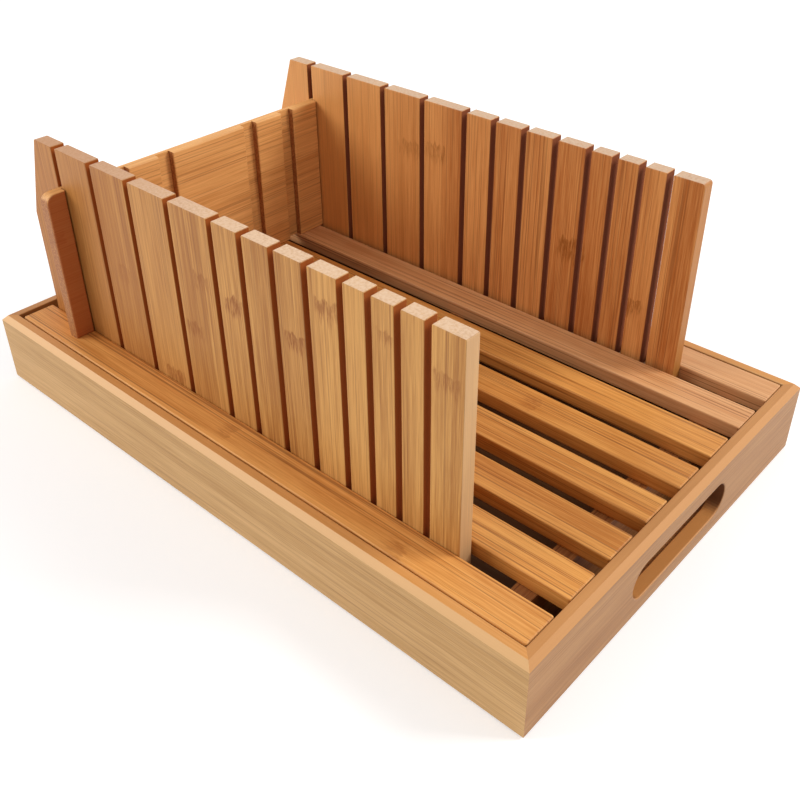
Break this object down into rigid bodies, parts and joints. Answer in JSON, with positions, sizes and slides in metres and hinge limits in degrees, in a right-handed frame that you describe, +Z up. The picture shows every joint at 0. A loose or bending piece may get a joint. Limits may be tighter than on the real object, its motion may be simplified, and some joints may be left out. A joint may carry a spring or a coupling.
{
  "type": "bread slicer guide",
  "caption": "Slotted upright side walls and a back stop on a slatted rack in a crumb tray, guiding a bread knife through even slices.",
  "frame": {"origin": "middle of the tray's underside, on the surface it stands on", "axes": "+X along the slats from the back stop to the open end, +Y across to the far wall, +Z up"},
  "size_m": [0.366, 0.2346, 0.146],
  "materials": {
    "tray_bamboo": "satin oiled bamboo, edge grain along each rail",
    "slat_bamboo": "satin oiled bamboo, edge grain along each slat",
    "wall_bamboo": "satin oiled bamboo strips with nodes",
    "dowel_wood": "plain turned dowel"
  },
  "bodies": {
    "tray": {"tray_rail_near": "tray_bamboo", "tray_rail_far": "tray_bamboo", "tray_rail_handle_end": "tray_bamboo", "tray_rail_stop_end": "tray_bamboo", "tray_floor": "tray_bamboo", "corner_tongues": "tray_bamboo"},
    "rack": {"slat_1": "slat_bamboo", "slat_2": "slat_bamboo", "slat_3": "slat_bamboo", "slat_4": "slat_bamboo", "slat_5": "slat_bamboo", "slat_6": "slat_bamboo", "slat_7": "slat_bamboo", "slat_8": "slat_bamboo", "bearer_rear": "slat_bamboo", "bearer_middle": "slat_bamboo", "bearer_front": "slat_bamboo", "rack_dowels": "dowel_wood"},
    "near_guide": {"near_wall": "wall_bamboo"},
    "far_guide": {"far_wall": "wall_bamboo"},
    "stop": {"back_stop": "wall_bamboo"}
  },
  "joints": [
    {"name": "rack_lift", "type": "slide", "parent": "tray", "child": "rack", "axis": [0, 0, 1], "range_m": [0, 0.045]},
    {"name": "wall_lift", "type": "slide", "parent": "rack", "child": "near_guide", "axis": [0, 0, 1], "range_m": [0, 0.03]},
    {"name": "far_wall_lift", "type": "slide", "parent": "rack", "child": "far_guide", "axis": [0, 0, 1], "range_m": [0, 0.03]},
    {"name": "stop_lift", "type": "slide", "parent": "near_guide", "child": "stop", "axis": [0, 0, 1], "range_m": [0, 0.11]}
  ],
  "couplings": [
    {"joint": "far_wall_lift", "follows": "wall_lift", "ratio": 1}
  ]
}
